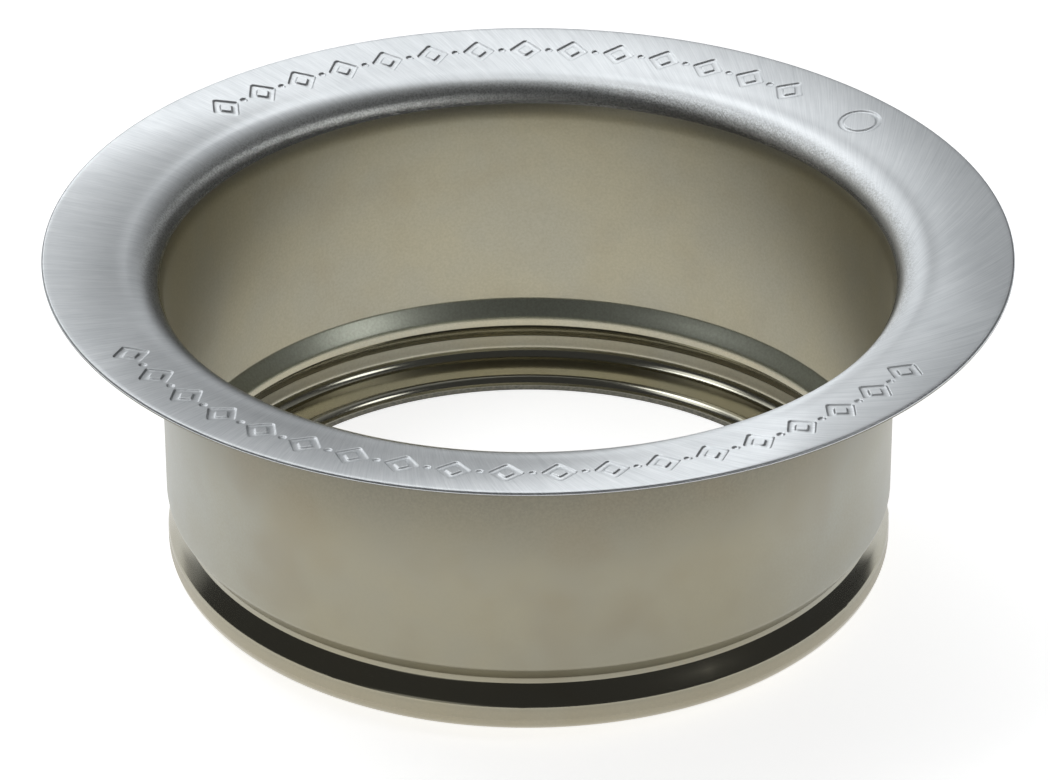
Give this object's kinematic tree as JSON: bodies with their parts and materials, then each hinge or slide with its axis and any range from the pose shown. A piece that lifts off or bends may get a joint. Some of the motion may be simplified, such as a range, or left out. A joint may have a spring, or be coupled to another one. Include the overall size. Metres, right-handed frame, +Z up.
{
  "type": "disposer sink flange",
  "caption": "Drawn stainless sink flange for a food-waste disposer: dished rim, straight sleeve, snap-ring groove and an inward shelf around the drain opening.",
  "frame": {"origin": "centre of the neck's bottom edge, the circle that the part stands on, on the axis of revolution", "axes": "+Z up the axis of revolution, from the neck to the rim; -Y faces the reader of the rim's front border"},
  "size_m": [0.1142, 0.1142, 0.0422],
  "materials": {
    "stainless_steel": "brushed rim, satin sleeve with a warm tint"
  },
  "bodies": {
    "root": {"sink_flange": "stainless_steel"}
  },
  "joints": []
}
